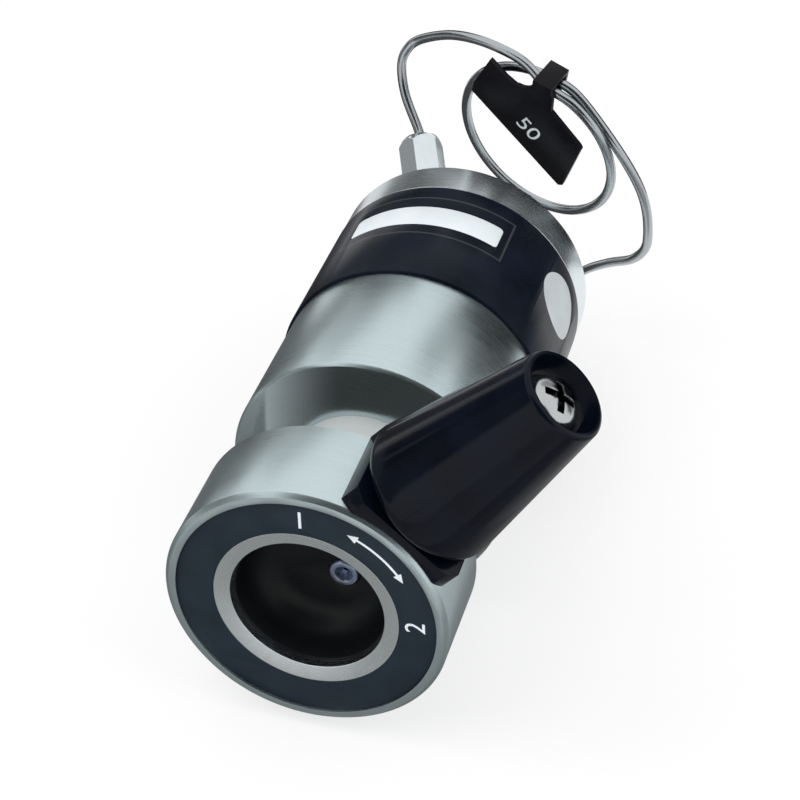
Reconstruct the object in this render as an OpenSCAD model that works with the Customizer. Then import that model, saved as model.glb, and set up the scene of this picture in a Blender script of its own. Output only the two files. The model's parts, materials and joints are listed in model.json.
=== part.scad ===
// Six-port manual injection valve, panel mounted, with its sample loop.
// The valve's axis is +Y, from the handle (front) to the stator (rear), and +Z is up.
// The origin is the centre of the body's flat front face, which bears on the panel.
// An azimuth is the angle about the axis from +Z, clockwise as seen from the front.

/* [Handle hub] */
// Outer diameter of the hub
hub_d = 40; // [36:0.5:48]
// Width of the hub along the axis, without its front lip
hub_w = 15; // [13:0.5:20]
// Height of the thin lip round the front label
hub_lip = 0.4; // [0.2:0.1:0.8]
// Width of that lip
hub_lip_w = 1.6; // [1:0.1:2.5]
// Chamfer on the hub's edges
hub_chamfer = 0.6; // [0.2:0.1:1.2]
// Distance from the hub's rear face to the panel face
neck_len = 13.5; // [11:0.5:20]
// Thickness of the front label
label_t = 0.5; // [0.3:0.1:1]
// Outer diameter of the bright ring inside the label
bezel_d = 26.2; // [24:0.2:28]
// Diameter of the open mouth of the funnel
funnel_d = 21.8; // [20:0.2:23]
// Depth of the funnel behind the ring
funnel_depth = 8.4; // [6:0.2:10]

/* [Lever] */
// Azimuth of the lever with the valve in position 1
lever_az = 41; // [0:1:90]
// Distance of the lever's axis in front of the panel face
lever_y = 19.7; // [18:0.1:24]
// Distance from the hub's rim to the grip's large end
grip_gap = 1.3; // [0.6:0.1:3]
// Length of the grip
grip_len = 27.5; // [20:0.1:45]
// Diameter of the grip's large end
grip_d1 = 20.6; // [16:0.1:24]
// Diameter of the grip's tip
grip_d2 = 13; // [11:0.1:18]
// Diameter of the clamping screw's shank
lever_screw_d = 4.8; // [3:0.1:6]
// Diameter of the clamping screw's head
lever_head_d = 7.6; // [6:0.1:9]
// Travel of the handle from position 1 to position 2
travel = 60; // [30:1:60]

/* [Body and stator] */
// Diameter of the neck that passes through the panel
neck_d = 22.6; // [20:0.2:25]
// Diameter of the steel body
body_d = 40.5; // [38:0.5:50]
// Length of the steel body
body_len = 23.4; // [20:0.2:32]
// Diameter of the black switch ring
ring_d = 41.4; // [39:0.2:51]
// Length of the black switch ring
ring_len = 24.1; // [22:0.1:32]
// Diameter of the stator
stator_d = 41.2; // [39:0.2:51]
// Length of the stator's cylindrical rim
stator_rim = 6.5; // [5:0.5:10]
// Angle between a port's axis and the valve's axis
port_tilt = 40; // [35:1:45]
// Azimuth of the first port
port_az = -32; // [-60:1:0]
// Distance of a port's mouth from the valve's axis
port_mouth_r = 14.5; // [13.5:0.1:15.5]
// Distance of the small passages from the valve's axis
passage_r = 2.77; // [2.5:0.01:3]
// Diameter of a port's thread
port_d = 4.8; // [4:0.1:5]
// Depth of a port's thread
port_depth = 7.5; // [6:0.5:8]

/* [Panel mount] */
// Distance between the two tapped holes in the panel face
mount_spacing = 31.75; // [30:0.05:34]
// Diameter of those holes
mount_d = 4; // [3:0.1:4.4]
// Depth of those holes
mount_depth = 8; // [5:0.5:10]

/* [Shaft and rotor] */
// Diameter of the shaft in the hub and neck
shaft_d = 12; // [11:0.2:13]
// Diameter of the shaft's rear drum
drum_d = 16; // [14:0.2:18]
// Diameter of the shaft's thrust flange
flange_d = 22.8; // [21:0.2:24]
// Azimuth of the needle port in position 1
needle_az = 96; // [0:1:360]
// Diameter of the needle's bore
needle_d = 0.8; // [0.6:0.1:1]
// Diameter of the three long stator screws
stator_screw_d = 3.8; // [3:0.1:4]
// Distance of those screws from the valve's axis
stator_screw_r = 16.4; // [16:0.1:17]

/* [Sample loop] */
// Outer diameter of the capillary
tube_d = 1.5875; // [0.8:0.0001:1.6]
// Radius of the coil
coil_r = 14.2; // [10:0.1:20]
// Lean of the coil's plane
coil_lean = 13.3; // [0:0.1:25]
// Turn of the coil's plane about the vertical
coil_turn = -19.3; // [-30:0.1:0]
// Width across the flats of a port nut
nut_af = 6.35; // [6:0.05:8]
// Length of a port nut's hexagon
nut_len = 8; // [6:0.5:12]

/* [Fits] */
// Radial clearance of parts that turn in one another
run_gap = 0.05; // [0.02:0.01:0.1]
// Clearance of parts that are seated in one another
seat_gap = 0.02; // [0.01:0.01:0.05]
// Clearance between faces that pass each other
face_gap = 0.1; // [0.05:0.05:0.3]

/* [Hidden] */
$fn = 96;
fine = 0.01;

// Places along the axis, from the front
hub_rear = -neck_len;
label_front = hub_rear - hub_w;
hub_front = label_front - hub_lip;
label_back = label_front + label_t;
bezel_back = label_back + 1.5;
bezel_lip = 0.6;
funnel_floor = bezel_back + funnel_depth - 1.5;
web_front = funnel_floor + 1.2;
shaft_front = web_front;
neck_front = hub_rear + 0.5;
nut_thread = 8;
spring_t = 0.8;
spring_rise = 0.5;
spring_count = 3;
springs_end = nut_thread + spring_count * (spring_t + spring_rise);
washer_t = 1;
ball_d = 2.4;
front_washer = springs_end + face_gap;
ball_y = front_washer + washer_t + ball_d / 2 + seat_gap;
rear_washer = ball_y + ball_d / 2 + seat_gap;
flange_y = rear_washer + washer_t;
flange_t = 4;
flange_end = flange_y + flange_t;
ring_y = body_len;
stator_y = ring_y + ring_len;
stator_rear_r = 9;
rim_end = stator_y + stator_rim;
cone_rise = tan(port_tilt);
stator_end = rim_end + (stator_d / 2 - stator_rear_r) * cone_rise;
port_mouth_y = rim_end + (stator_d / 2 - port_mouth_r) * cone_rise;
// where the passages reach the passage circle, the stator's front face
spigot_front = port_mouth_y - (port_mouth_r - passage_r) / tan(port_tilt);
face_t = 1.6;
face_front = spigot_front - face_t;
seal_t = 3.3;
seal_end = face_front - run_gap;
drum_end = seal_end - seal_t;

// Radii inside
cup_r = bezel_d / 2 - 0.9;
nut_bore_r = neck_d / 2 + run_gap;
chamber_r = flange_d / 2 + 2;
bush_r = drum_d / 2 + 4.4;
bush_front = ring_y - 2;
bush_end = ring_y + 4.5;
collar_r = drum_d / 2 + 3.4;
cavity_r = collar_r + 1.8;
cavity_front = bush_end + 0.5;
spigot_r = cavity_r - 1.2;
screw_circle = max(stator_screw_r, cavity_r + stator_screw_d / 2 + 0.9);
pocket_az = 178;
pocket_w = 13;
pocket_r = 18.4;
pocket_front = bush_end + 1;
pocket_len = 13;
cable_r = 1.7;
grommet_r = 2.8;
cable_y = pocket_front + pocket_len - 4;
pin_r = 0.9;
pin_out = chamber_r - 0.6;
pin_y = flange_y + flange_t / 2;
pin_az = 200;
stop_slack = asin((pin_r + face_gap) / (flange_d / 2 + 0.2));
screw_azimuths = [for (k = [0:2]) port_az + 30 + 120 * k];
port_azimuths = [for (k = [0:5]) port_az + 60 * k];
loop_ports = [port_az, port_az + 180];
set_screw_azimuths = [130, 220];
set_screw_d = 3;
set_screw_y = hub_rear - 2.3;
spanner_azimuths = [45, 135, 225, 315];
drive_azimuths = [30, 150, 270];
drive_r = 6;
dowel_azimuths = [60, 240];
dowel_r = 7.5;
crisp = 0.15;
head_r = 2.9;
head_h = 4;
screw_seat = rim_end - 3.2;
grip_start = hub_d / 2 + grip_gap;
grip_tip = grip_start + grip_len;
dish_depth = 3;
head_y = grip_tip - dish_depth;
screw_tail = cup_r + 1.5;
tube_r = tube_d / 2;
nut_gap = 0.8;
nut_turn = 14;

// Children made along +Z are turned to lie along the valve's axis, +Y
module on_axis(y = 0) { translate([0, y, 0]) rotate([-90, 0, 0]) children(); }
// Children on local +X are turned to an azimuth, inside on_axis
module at_azimuth(a) { rotate([0, 0, a - 90]) children(); }
// A ring of square section along the valve's axis
module ring(y0, y1, r_out, r_in) {
    on_axis(y0) difference() {
        cylinder(h = y1 - y0, r = r_out);
        translate([0, 0, -1]) cylinder(h = y1 - y0 + 2, r = r_in);
    }
}
// A solid of revolution about the valve's axis, from points [radius, y]
module turned(points) { rotate([-90, 0, 0]) rotate_extrude() polygon(points); }
// A radial cylinder at an azimuth, from radius r0 to radius r1, centred at y
module spoke(a, y, r, r0, r1) {
    on_axis(y) at_azimuth(a) translate([r0, 0, 0]) rotate([0, 90, 0]) cylinder(h = r1 - r0, r = r);
}
// Children made along +Z at the lever's axis, with the distance from the valve's axis as z
module on_lever() { on_axis(-lever_y) at_azimuth(lever_az) rotate([0, 90, 0]) children(); }
// Children made along +Z on a port's axis, with the mouth at z = 0 and outwards positive
module on_port(a) {
    on_axis(port_mouth_y) at_azimuth(a) translate([port_mouth_r, 0, 0]) rotate([0, port_tilt, 0])
        children();
}
// A round bore parallel to the valve's axis
module bore(a, dist, r, y0, y1) {
    on_axis(y0) at_azimuth(a) translate([dist, 0, 0]) cylinder(h = y1 - y0, r = r);
}

// ---------------------------------------------------------------- handle

module handle_hub() {
    r = hub_d / 2;
    lip_r = r - hub_lip_w;
    color([0.78, 0.81, 0.82]) difference() {
        turned([
            [shaft_d / 2 + seat_gap, hub_rear], [r - hub_chamfer, hub_rear],
            [r, hub_rear - hub_chamfer], [r, hub_front + hub_chamfer],
            [r - hub_chamfer, hub_front], [lip_r, hub_front], [lip_r, label_back],
            [bezel_d / 2 + seat_gap, label_back], [bezel_d / 2 + seat_gap, bezel_back],
            [cup_r + seat_gap, bezel_back], [cup_r + seat_gap, web_front],
            [shaft_d / 2 + seat_gap, web_front]
        ]);
        on_lever() translate([0, 0, screw_tail - 0.5])
            cylinder(h = r, r = lever_screw_d / 2 + seat_gap);
        for (a = set_screw_azimuths) {
            spoke(a, set_screw_y, set_screw_d / 2 + seat_gap, 0, r + 2);
        }
    }
}

module handle_label() {
    color([0.05, 0.07, 0.09])
        ring(label_front, label_back - fine, hub_d / 2 - hub_lip_w - seat_gap,
             bezel_d / 2 + seat_gap);
}

module bezel_ring() {
    color([0.86, 0.87, 0.88]) turned([
        [bezel_d / 2, label_front], [bezel_d / 2, bezel_back - fine],
        [funnel_d / 2, bezel_back - fine], [funnel_d / 2, label_front + bezel_lip]
    ]);
}

module funnel_cup() {
    // a straight wall that rounds into a flat floor, with a hole for the needle port
    r_in = funnel_d / 2 - 0.3;
    round_r = 4.4;
    wall_end = funnel_floor - round_r;
    color([0.06, 0.06, 0.07]) difference() {
        turned(concat(
            [[cup_r, bezel_back], [cup_r, web_front - fine], [0, web_front - fine],
             [0, funnel_floor]],
            [for (t = [0:10:90]) [r_in - round_r + round_r * sin(t), wall_end + round_r * cos(t)]],
            [[r_in, bezel_back]]
        ));
        bore(needle_az, passage_r, port_head_r + seat_gap, funnel_floor - 1, web_front + 1);
    }
}

port_head_r = 2.25;
port_head_h = 2.4;
port_head_out = 0.5;
module needle_port() {
    // a lipped insert with a conical lead-in for the needle
    lead = 1.3;
    color([0.55, 0.62, 0.72]) on_axis(funnel_floor) at_azimuth(needle_az)
        translate([passage_r, 0, 0]) rotate_extrude(convexity = 4) polygon([
            [lead, -port_head_out], [port_head_r - 0.3, -port_head_out],
            [port_head_r, -port_head_out + 0.3], [port_head_r, port_head_h],
            [needle_d / 2, port_head_h], [needle_d / 2, lead - port_head_out]
        ]);
}

needle_tube_r = 0.9;
tube_bore_r = needle_d / 2 + 0.18;
module needle_tube() {
    y0 = funnel_floor + port_head_h + seat_gap;
    color([0.75, 0.76, 0.77]) difference() {
        bore(needle_az, passage_r, needle_tube_r, y0, drum_end);
        bore(needle_az, passage_r, tube_bore_r, y0 - 1, drum_end + 1);
    }
}

module hub_set_screws() {
    // cup-point screws with hexagon sockets, just below the hub's surface
    tail = shaft_d / 2 + seat_gap;
    tip = hub_d / 2 - 0.6;
    color([0.2, 0.2, 0.22]) for (a = set_screw_azimuths) {
        difference() {
            spoke(a, set_screw_y, set_screw_d / 2, tail, tip);
            on_axis(set_screw_y) at_azimuth(a) translate([tip - 2, 0, 0]) rotate([0, 90, 0])
                cylinder(h = 3, r = 0.85, $fn = 6);
        }
    }
}

module lever_collar() {
    // a saddle as wide as the hub that fits its rim, under the grip's large end
    edge = 0.15;
    half_w = grip_d1 / 2 - 1.3;
    color([0.05, 0.05, 0.06]) difference() {
        on_lever() translate([0, 0, hub_d / 4]) linear_extrude(grip_start - fine - hub_d / 4)
            intersection() {
                circle(r = grip_d1 / 2 + 1.3);
                translate([-lever_y - hub_rear + edge, -half_w])
                    square([hub_w + hub_lip - 2 * edge, 2 * half_w]);
            }
        on_axis(hub_front - 1) cylinder(h = hub_w + 4, r = hub_d / 2 + seat_gap);
        on_lever() cylinder(h = hub_d, r = lever_screw_d / 2 + 0.1);
    }
}

module lever_grip() {
    // a tapered grip, rounded at both ends, with a dish in its tip
    r1 = grip_d1 / 2;
    r2 = grip_d2 / 2;
    round1 = 2.4;
    round2 = 0.7;
    dish_r = r2 - round2 - 0.2;
    bowl_r = dish_r - 1.3;
    bore_r = lever_screw_d / 2 + 0.1;
    color([0.04, 0.045, 0.06]) on_lever() rotate_extrude() polygon(concat(
        [[bore_r, grip_start]],
        [for (t = [0:10:90]) [r1 - round1 + round1 * sin(t), grip_start + round1 * (1 - cos(t))]],
        [for (t = [0:15:90])
            [r2 - round2 + round2 * cos(t), grip_tip - round2 + round2 * sin(t)]],
        [for (t = [0:15:90])
            [bowl_r + (dish_r - bowl_r) * cos(t), grip_tip - (dish_depth - fine) * sin(t)]],
        [[bore_r, head_y]]
    ));
}

module lever_screw() {
    // a pan-head screw with a cross recess, through the grip and into the hub
    r = lever_head_d / 2;
    h = 2.3;
    slot = 1.1;
    color([0.85, 0.86, 0.87]) on_lever() difference() {
        union() {
            translate([0, 0, head_y]) rotate_extrude() polygon(concat(
                [[0, 0], [r, 0], [r, h * 0.35]],
                [for (t = [15:15:90]) [r * cos(t), h * (0.35 + 0.65 * sin(t))]]
            ));
            translate([0, 0, screw_tail]) cylinder(h = head_y - screw_tail + fine,
                                                   r = lever_screw_d / 2);
        }
        for (a = [20, 110]) {
            translate([0, 0, head_y + h]) rotate([0, 0, a])
                cube([0.62 * lever_head_d, slot, 2 * h * 0.62], center = true);
        }
    }
}

// ---------------------------------------------------------------- shaft and rotor

module shaft() {
    r = shaft_d / 2;
    drum = drum_d / 2;
    color([0.7, 0.71, 0.72]) difference() {
        turned([
            [0, shaft_front], [r - 0.3, shaft_front], [r, shaft_front + 0.3], [r, flange_y],
            [flange_d / 2, flange_y], [flange_d / 2, flange_end], [drum, flange_end],
            [drum, drum_end], [0, drum_end]
        ]);
        bore(needle_az, passage_r, port_head_r + seat_gap, shaft_front - 1,
             funnel_floor + port_head_h + seat_gap);
        bore(needle_az, passage_r, needle_tube_r + seat_gap, shaft_front, drum_end + 1);
        spoke(pin_az, pin_y, pin_r + seat_gap, 7, flange_d / 2 + 1);
        for (a = drive_azimuths) {
            bore(a, drive_r, 0.8 + seat_gap, drum_end - 3, drum_end + 1);
        }
    }
}

module stop_pin() {
    color([0.55, 0.56, 0.58]) spoke(pin_az, pin_y, pin_r, 7 + seat_gap, pin_out);
}

module rotor_pins() {
    color([0.6, 0.6, 0.62]) for (a = drive_azimuths) {
        bore(a, drive_r, 0.8, drum_end - 3 + seat_gap, drum_end + 2);
    }
}

module rotor_seal() {
    // three arc grooves on the rear face join the ports in pairs
    groove_w = 0.5;
    groove_t = 0.35;
    seal_bore_r = 0.3;
    color([0.82, 0.72, 0.5]) difference() {
        on_axis(drum_end + fine) cylinder(h = seal_t - fine, r = drum_d / 2 - 0.1);
        for (a = drive_azimuths) {
            bore(a, drive_r, 0.8 + seat_gap, drum_end - 1, drum_end + 2 + seat_gap);
        }
        bore(needle_az, passage_r, seal_bore_r, drum_end - 1, seal_end + 1);
        for (k = [0:2]) {
            on_axis(seal_end - groove_t) at_azimuth(port_az + 120 * k)
                rotate_extrude(angle = 60)
                    translate([passage_r - groove_w / 2, 0]) square([groove_w, 1]);
        }
    }
}

module rear_thrust_washer() {
    color([0.8, 0.8, 0.82])
        ring(rear_washer, flange_y - fine, nut_bore_r - 0.3, shaft_d / 2 + seat_gap);
}

collar_front = bush_end + 0.8;
collar_len = 6;
magnet_r = 1.5;
magnet_base = drum_d / 2 + 1.2;
module magnet_collar() {
    color([0.1, 0.1, 0.11]) difference() {
        ring(collar_front, collar_front + collar_len, collar_r, drum_d / 2 + seat_gap);
        spoke(pocket_az, collar_front + collar_len / 2, magnet_r + seat_gap, magnet_base,
              collar_r + 1);
    }
}

module switch_magnet() {
    color([0.6, 0.61, 0.63])
        spoke(pocket_az, collar_front + collar_len / 2, magnet_r, magnet_base + seat_gap,
              collar_r - 0.1);
}

// ---------------------------------------------------------------- thrust bearing and springs

ball_count = 12;
ball_pitch_r = (shaft_d / 2 + nut_bore_r) / 2;
module bearing_cage() {
    color([0.72, 0.6, 0.3]) difference() {
        ring(ball_y - 0.6, ball_y + 0.6, nut_bore_r - 0.5, shaft_d / 2 + 0.3);
        for (k = [0:ball_count - 1]) {
            bore(k * 360 / ball_count, ball_pitch_r, ball_d / 2 + run_gap, ball_y - 2, ball_y + 2);
        }
    }
}

module bearing_balls() {
    color([0.85, 0.86, 0.88]) for (k = [0:ball_count - 1]) {
        on_axis(ball_y) at_azimuth(k * 360 / ball_count) translate([ball_pitch_r, 0, 0])
            sphere(d = ball_d, $fn = 24);
    }
}

module front_thrust_washer() {
    color([0.8, 0.8, 0.82])
        ring(front_washer, front_washer + washer_t, nut_bore_r - 0.2, shaft_d / 2 + 0.3);
}

module spring_washers() {
    // conical discs, each turned the other way round from the one before it
    r0 = shaft_d / 2 + 0.3;
    r1 = nut_bore_r - 0.2;
    color([0.55, 0.57, 0.6]) for (k = [0:spring_count - 1]) {
        y = nut_thread + fine + k * (spring_t + spring_rise);
        in = k % 2 == 0 ? spring_rise : 0;
        out = spring_rise - in;
        turned([[r0, y + in], [r1, y + out], [r1, y + out + spring_t - fine],
                [r0, y + in + spring_t - fine]]);
    }
}

// ---------------------------------------------------------------- fixed parts

module pressure_nut() {
    // the neck behind the handle, turned with a pin spanner to load the springs
    r = neck_d / 2;
    color([0.88, 0.89, 0.9]) difference() {
        turned([
            [shaft_d / 2 + run_gap, neck_front], [r - 0.5, neck_front], [r, neck_front + 0.5],
            [r, nut_thread], [shaft_d / 2 + run_gap, nut_thread]
        ]);
        for (a = spanner_azimuths) spoke(a, -5, 1.1, r - 2, r + 1);
        spoke(180, 5, 1.2, r - 0.8, r + 1);
    }
}

module nut_lock_screw() {
    r0 = neck_d / 2 - 0.8 + seat_gap;
    tip = body_d / 2 - 0.8;
    color([0.2, 0.2, 0.22]) difference() {
        union() {
            spoke(180, 5, 1.15, r0, tip - 2);
            spoke(180, 5, 1.5, neck_d / 2 + 0.6, tip);
        }
        on_axis(5) at_azimuth(180) translate([tip - 2, 0, 0]) rotate([0, 90, 0])
            cylinder(h = 3, r = 0.85, $fn = 6);
    }
}

module valve_body() {
    r = body_d / 2;
    c = 0.4;
    color([0.75, 0.79, 0.8]) difference() {
        turned([
            [nut_bore_r, 0], [r - c, 0], [r, c], [r, body_len - crisp],
            [r - crisp, body_len],
            [chamber_r, body_len], [chamber_r, flange_y - 0.4], [nut_bore_r, flange_y - 0.4]
        ]);
        for (x = [-1, 1]) {
            translate([x * mount_spacing / 2, 0, 0]) on_axis(-1)
                cylinder(h = mount_depth + 1, d = mount_d);
        }
        spoke(180, 5, 1.5 + seat_gap, neck_d / 2 - 1, r + 1);
        for (a = screw_azimuths) {
            bore(a, screw_circle, stator_screw_d / 2 + seat_gap, body_len - 10, body_len + 1);
        }
    }
}

module stop_ring() {
    // its window lets the stop pin turn by the valve's travel
    y0 = flange_y - 0.3;
    y1 = bush_front - seat_gap;
    r_in = flange_d / 2 + 0.2;
    color([0.5, 0.52, 0.55]) difference() {
        ring(y0, y1, chamber_r - seat_gap, r_in);
        on_axis(y0 - 1) at_azimuth(pin_az - stop_slack)
            rotate_extrude(angle = travel + 2 * stop_slack)
                translate([r_in - 1, 0]) square([chamber_r, y1 - y0 + 2]);
    }
}

module shaft_bushing() {
    color([0.72, 0.56, 0.3]) difference() {
        union() {
            on_axis(bush_front) cylinder(h = body_len - bush_front - seat_gap,
                                         r = chamber_r - seat_gap);
            on_axis(bush_front) cylinder(h = bush_end - bush_front,
                                         r = min(bush_r, chamber_r) - seat_gap);
            on_axis(ring_y + seat_gap) cylinder(h = bush_end - ring_y - seat_gap,
                                                r = bush_r - seat_gap);
        }
        on_axis(bush_front - 1) cylinder(h = bush_end, r = drum_d / 2 + run_gap);
    }
}

module switch_ring() {
    r = ring_d / 2;
    c = crisp;
    color([0.05, 0.06, 0.08]) difference() {
        turned([
            [bush_r, ring_y], [r - c, ring_y], [r, ring_y + c],
            [r, stator_y - c], [r - c, stator_y], [spigot_r + seat_gap, stator_y],
            [spigot_r + seat_gap, spigot_front + 0.1], [cavity_r, spigot_front + 0.1],
            [cavity_r, cavity_front], [bush_r, cavity_front]
        ]);
        on_axis(pocket_front) at_azimuth(pocket_az) translate([8, -pocket_w / 2, 0])
            cube([pocket_r - 8, pocket_w, pocket_len]);
        spoke(pocket_az, cable_y, grommet_r + seat_gap, pocket_r - 1, r + 1);
        for (a = screw_azimuths) {
            bore(a, screw_circle, stator_screw_d / 2 + 0.15, ring_y - 1, stator_y + 1);
        }
        // shallow seats for the two labels
        label_seat(seat_gap);
        intersection() {
            ring(ring_y, stator_y, r + 1, r - 0.3);
            spoke(round_az, round_y, round_r + seat_gap, 10, r + 2);
        }
    }
}

// The rectangular label: azimuths of its ends and its width along the axis
side_az = [-41, 27.5];
side_y = ring_y + 13.1;
side_w = 5.1;
module label_seat(grow) {
    grow_a = grow * 3;
    on_axis(side_y - grow) at_azimuth(side_az[0] - grow_a)
        rotate_extrude(angle = side_az[1] - side_az[0] + 2 * grow_a)
            translate([ring_d / 2 - 0.3, 0]) square([1, side_w + 2 * grow]);
}
module side_label() {
    color([0.9, 0.93, 0.96]) intersection() {
        label_seat(-seat_gap);
        ring(ring_y, stator_y, ring_d / 2 - 0.02, ring_d / 2 - 0.28);
    }
}

// The round label: azimuth, place along the axis and radius
round_az = 68.5;
round_y = ring_y + 16.3;
round_r = 5.3;
module round_label() {
    color([0.87, 0.9, 0.92]) intersection() {
        ring(ring_y, stator_y, ring_d / 2 - 0.02, ring_d / 2 - 0.28);
        spoke(round_az, round_y, round_r - seat_gap, 10, ring_d);
    }
}

board_t = 1;
board_r = pocket_r - board_t - seat_gap;
module switch_board() {
    color([0.1, 0.35, 0.2]) on_axis(pocket_front + seat_gap) at_azimuth(pocket_az)
        translate([board_r, -pocket_w / 2 + 0.3, 0])
            difference() {
                cube([board_t, pocket_w - 0.6, pocket_len - 2 * seat_gap]);
                translate([-1, pocket_w / 2 - 0.3, cable_y - pocket_front]) rotate([0, 90, 0])
                    cylinder(h = 3, r = cable_r + 0.5);
            }
}

module reed_switch() {
    // a glass capsule along the axis on two end blocks
    color([0.7, 0.8, 0.75]) on_axis(pocket_front + 0.6) at_azimuth(pocket_az) union() {
        translate([board_r - 1.4, 3.6, 0]) cylinder(h = 10, r = 1, $fn = 32);
        for (z = [0.8, 8]) translate([board_r - 1.4, 2.9, z]) cube([1.4 - fine, 1.4, 1.2]);
    }
}

module cable_grommet() {
    r = ring_d / 2;
    color([0.08, 0.08, 0.08]) difference() {
        union() {
            spoke(pocket_az, cable_y, grommet_r, pocket_r + seat_gap, r + 0.2);
            spoke(pocket_az, cable_y, grommet_r + 0.9, r + 0.1, r + 1.2);
        }
        spoke(pocket_az, cable_y, cable_r, pocket_r - 2, r + 3);
    }
}

module stator_face() {
    color([0.92, 0.92, 0.9]) difference() {
        on_axis(face_front) cylinder(h = face_t - fine, r = 9);
        for (a = port_azimuths) bore(a, passage_r, 0.3, face_front - 1, spigot_front + 1);
        for (a = dowel_azimuths) bore(a, dowel_r, 0.75 + seat_gap, face_front - 1, spigot_front + 1);
    }
}

module stator_pins() {
    color([0.6, 0.6, 0.62]) for (a = dowel_azimuths) {
        bore(a, dowel_r, 0.75, face_front + 0.3, spigot_front + 1.8);
    }
}

// The hollow of one port: thread, ferrule seat, tube pilot and passage
ferrule_end = port_depth + 1.5;
pilot_end = ferrule_end + 1.8;
pilot_r = 0.82;
module port_hollow() {
    deep = (port_mouth_r - passage_r) / sin(port_tilt);
    translate([0, 0, -port_depth]) cylinder(h = port_depth + 4, d = port_d);
    translate([0, 0, -ferrule_end]) cylinder(h = 1.5 + fine, r1 = pilot_r, r2 = 1.6);
    translate([0, 0, -pilot_end]) cylinder(h = pilot_end - port_depth, r = pilot_r);
    translate([0, 0, -deep - 1]) cylinder(h = deep, r = 0.3);
}

module stator() {
    // a rim, then a cone that is square to the six slanted ports
    r = stator_d / 2;
    c = 0.4;
    color([0.78, 0.81, 0.82]) difference() {
        turned([
            [0, spigot_front], [spigot_r, spigot_front], [spigot_r, stator_y],
            [r - crisp, stator_y], [r, stator_y + crisp], [r, rim_end - c], [r - c, rim_end],
            [stator_rear_r, stator_end], [0, stator_end]
        ]);
        for (a = port_azimuths) on_port(a) port_hollow();
        for (a = screw_azimuths) {
            bore(a, screw_circle, stator_screw_d / 2 + 0.15, stator_y - 1, stator_end);
            bore(a, screw_circle, head_r + 0.2, screw_seat, stator_end);
        }
        for (a = dowel_azimuths) {
            bore(a, dowel_r, 0.75 + seat_gap, spigot_front - 1, spigot_front + 2);
        }
    }
}

module stator_screws() {
    // socket-head screws through the stator and the switch ring into the body
    color([0.25, 0.25, 0.27]) for (a = screw_azimuths) {
        difference() {
            union() {
                bore(a, screw_circle, stator_screw_d / 2, body_len - 8, screw_seat + 1);
                bore(a, screw_circle, head_r, screw_seat + fine, screw_seat + head_h);
            }
            on_axis(screw_seat + head_h - 2) at_azimuth(a) translate([screw_circle, 0, 0])
                cylinder(h = 3, r = 1.8, $fn = 6);
        }
    }
}

// ---------------------------------------------------------------- fittings and loop

tube_gap = 0.06;
module port_nuts() {
    // a chamfered hexagon and a threaded shank in one piece, bored for the tube
    ac = nut_af / cos(30);
    far = nut_gap + nut_len;
    color([0.88, 0.9, 0.9]) for (a = loop_ports) {
        on_port(a) difference() {
            union() {
                intersection() {
                    translate([0, 0, nut_gap]) rotate([0, 0, nut_turn])
                        cylinder(h = nut_len, d = ac, $fn = 6);
                    translate([0, 0, nut_gap]) rotate_extrude() polygon([
                        [0, 0], [ac / 2 + 0.1, 0], [ac / 2 + 0.1, nut_len - 1.5],
                        [nut_af / 2 - 0.3, nut_len], [0, nut_len]
                    ]);
                }
                translate([0, 0, -port_depth + 0.7])
                    cylinder(h = port_depth + nut_gap, r = port_d / 2 - run_gap);
            }
            translate([0, 0, -port_depth]) cylinder(h = port_depth + far + 1, r = tube_r + tube_gap);
        }
    }
}

module ferrules() {
    color([0.8, 0.78, 0.7]) for (a = loop_ports) {
        on_port(a) rotate_extrude() polygon([
            [tube_r + 0.01, -ferrule_end + 0.1], [tube_r + 0.08, -ferrule_end + 0.1],
            [1.5, -port_depth + 0.02], [1.5, -port_depth + 0.6], [tube_r + 0.01, -port_depth + 0.6]
        ]);
    }
}

// The coil's frame: across, through and up, and its centre
coil_c = [8.2, 69.6, 18];
coil_u = [cos(coil_turn), sin(coil_turn), 0];
coil_n = [-sin(coil_turn) * cos(coil_lean), cos(coil_turn) * cos(coil_lean), sin(coil_lean)];
coil_v = cross(coil_u, coil_n);
function in_coil(u, v, n = 0) = coil_c + u * coil_u + v * coil_v + n * coil_n;
module on_coil() { translate(coil_c) rotate([coil_lean, 0, coil_turn]) children(); }

// A point on a port's axis, at a distance outwards from its mouth
function port_point(a, s) = let (r = port_mouth_r + s * sin(port_tilt))
    [r * sin(a), port_mouth_y + s * cos(port_tilt), r * cos(a)];

// The loop's route: out of the first port, over the top, once round the coil, out to the
// right and back into the opposite port
clip_angle = 75;
strand_gap = 1.9;
first_lead = [[-14.4, 70.2, 22.6], [-15.5, 71.8, 27.2], [-14.6, 72.6, 30], [-12.4, 72.8, 31.8],
              [-7.4, 71, 34.2], [-2.5, 69, 35.2], [2.3, 67.4, 34.9], [6.4, 66.2, 33.7]];
coil_turns = [for (t = [0:20:380])
    in_coil(coil_r * cos(clip_angle - t), coil_r * sin(clip_angle - t),
            strand_gap * (t / 360 - 0.5))];
last_lead = [[21.6, 63.7, 23.2], [25.7, 63.9, 16.8], [27.5, 64.5, 11.6], [28, 65.6, 6],
             [27.5, 66.8, 2.2], [25.3, 68.4, -1.2], [21.2, 70.6, -4.1], [17, 73, -7.8],
             [14.2, 75.2, -12], [13.2, 75.2, -16.8], [12.8, 72.6, -19.6]];
loop_route = concat(
    [for (s = [-pilot_end + 0.2, -4, 4, 8.4, 10.6]) port_point(loop_ports[0], s)],
    first_lead, coil_turns, last_lead,
    [for (s = [12.4, 10.6, 8.4, 4, -4, -pilot_end + 0.2]) port_point(loop_ports[1], s)]
);
route_n = len(loop_route);
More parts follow.
